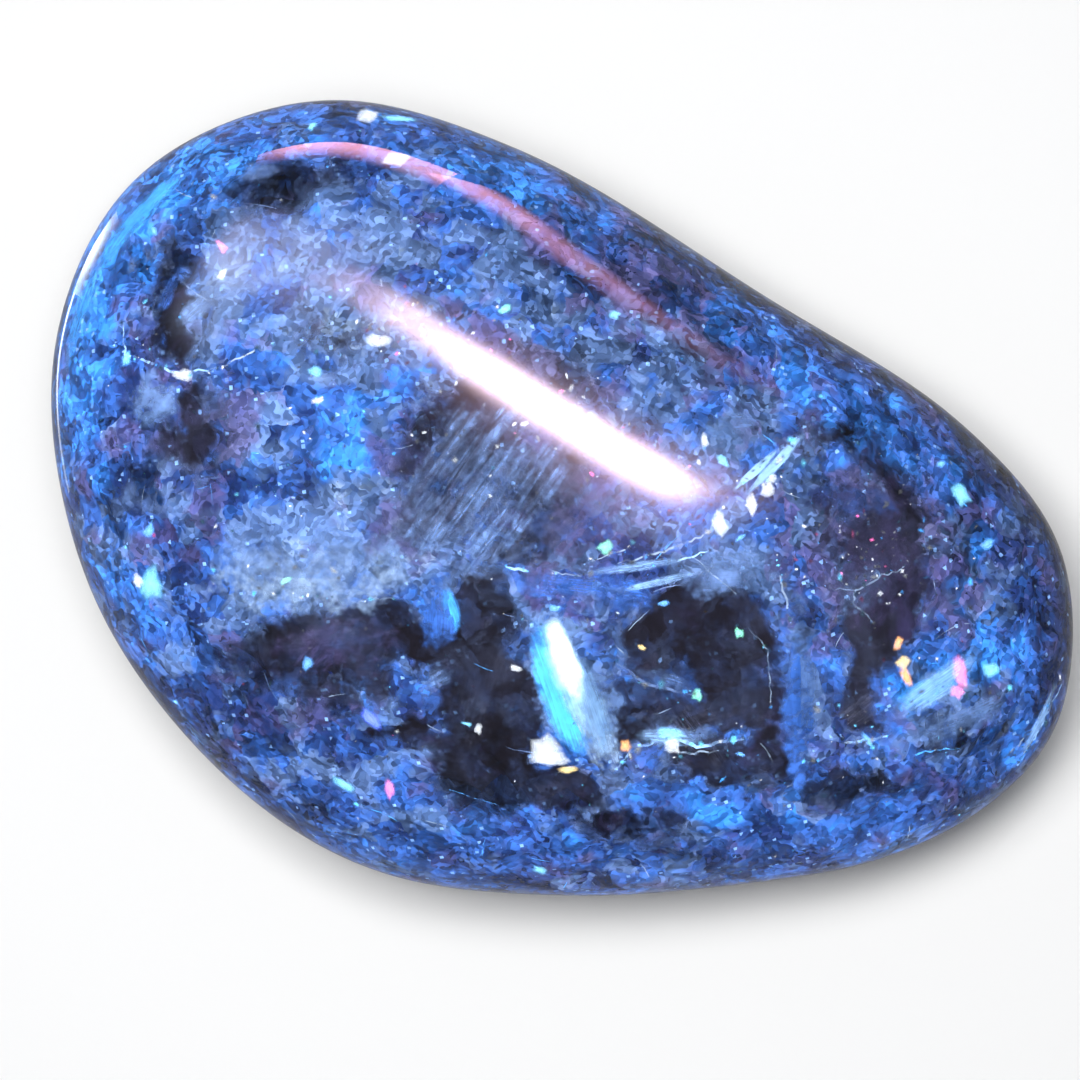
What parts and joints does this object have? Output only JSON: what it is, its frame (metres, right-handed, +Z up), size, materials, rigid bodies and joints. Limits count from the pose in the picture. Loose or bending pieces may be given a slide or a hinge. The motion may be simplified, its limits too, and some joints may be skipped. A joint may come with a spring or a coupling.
{
  "type": "tumbled quartz stone",
  "caption": "Tumbled and polished pebble of blue-dyed crackle quartz, longer and thicker at one end, lying on a small worn flat.",
  "frame": {"origin": "middle of the length and of the width, on the surface that the stone lies on", "axes": "+X along the length towards the narrow end, +Y across towards the straighter flank, +Z up through the crown"},
  "size_m": [0.035, 0.023, 0.0138],
  "materials": {
    "dyed_quartz": "high polish, clear quartz with blue-dyed cracks inside"
  },
  "bodies": {
    "root": {"stone": "dyed_quartz"}
  },
  "joints": []
}
